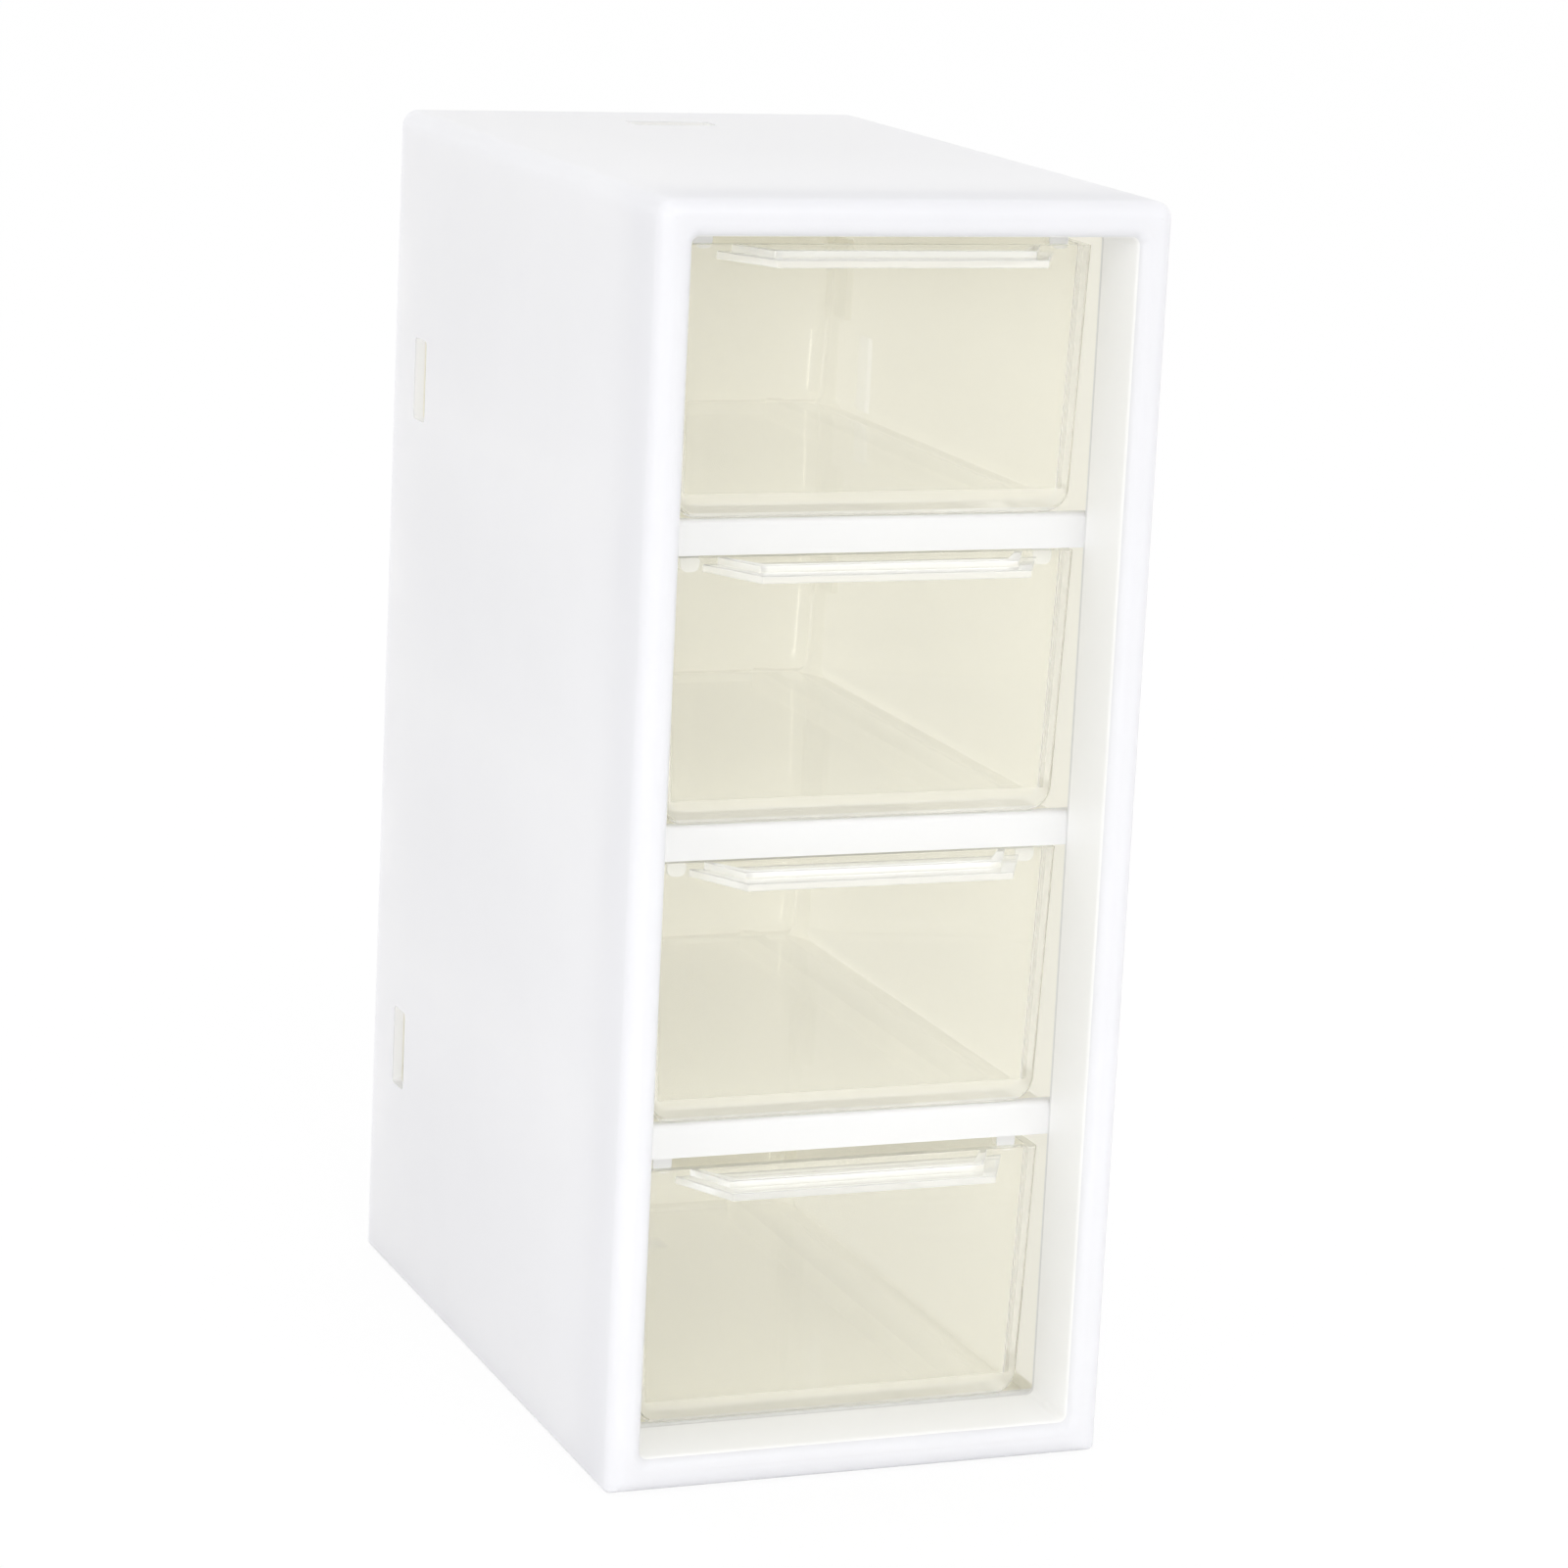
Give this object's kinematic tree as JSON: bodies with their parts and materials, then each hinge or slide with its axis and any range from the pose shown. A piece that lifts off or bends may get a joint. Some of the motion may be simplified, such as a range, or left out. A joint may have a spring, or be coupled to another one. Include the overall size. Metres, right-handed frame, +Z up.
{
  "type": "desktop mini drawers",
  "caption": "Narrow upright case with clear drawers stacked in it, each pulled out by a ledge handle that sits behind the case's front rim.",
  "frame": {"origin": "middle of the underside of the case", "axes": "+Z up, -Y towards the drawer fronts, +X to the right seen from the front"},
  "size_m": [0.083, 0.129, 0.2],
  "materials": {
    "white_plastic": "satin-gloss moulded white",
    "clear_plastic": "clear moulded polystyrene"
  },
  "bodies": {
    "case": {"case_shell": "white_plastic", "back_panel": "white_plastic"},
    "top_drawer": {"drawer_top": "clear_plastic"},
    "upper_drawer": {"drawer_upper": "clear_plastic"},
    "lower_drawer": {"drawer_lower": "clear_plastic"},
    "bottom_drawer": {"drawer_bottom": "clear_plastic"}
  },
  "joints": [
    {"name": "top_drawer_slide", "type": "slide", "parent": "case", "child": "top_drawer", "axis": [0, -1, 0], "range_m": [0, 0.1]},
    {"name": "upper_drawer_slide", "type": "slide", "parent": "case", "child": "upper_drawer", "axis": [0, -1, 0], "range_m": [0, 0.1]},
    {"name": "lower_drawer_slide", "type": "slide", "parent": "case", "child": "lower_drawer", "axis": [0, -1, 0], "range_m": [0, 0.1]},
    {"name": "bottom_drawer_slide", "type": "slide", "parent": "case", "child": "bottom_drawer", "axis": [0, -1, 0], "range_m": [0, 0.1]}
  ]
}
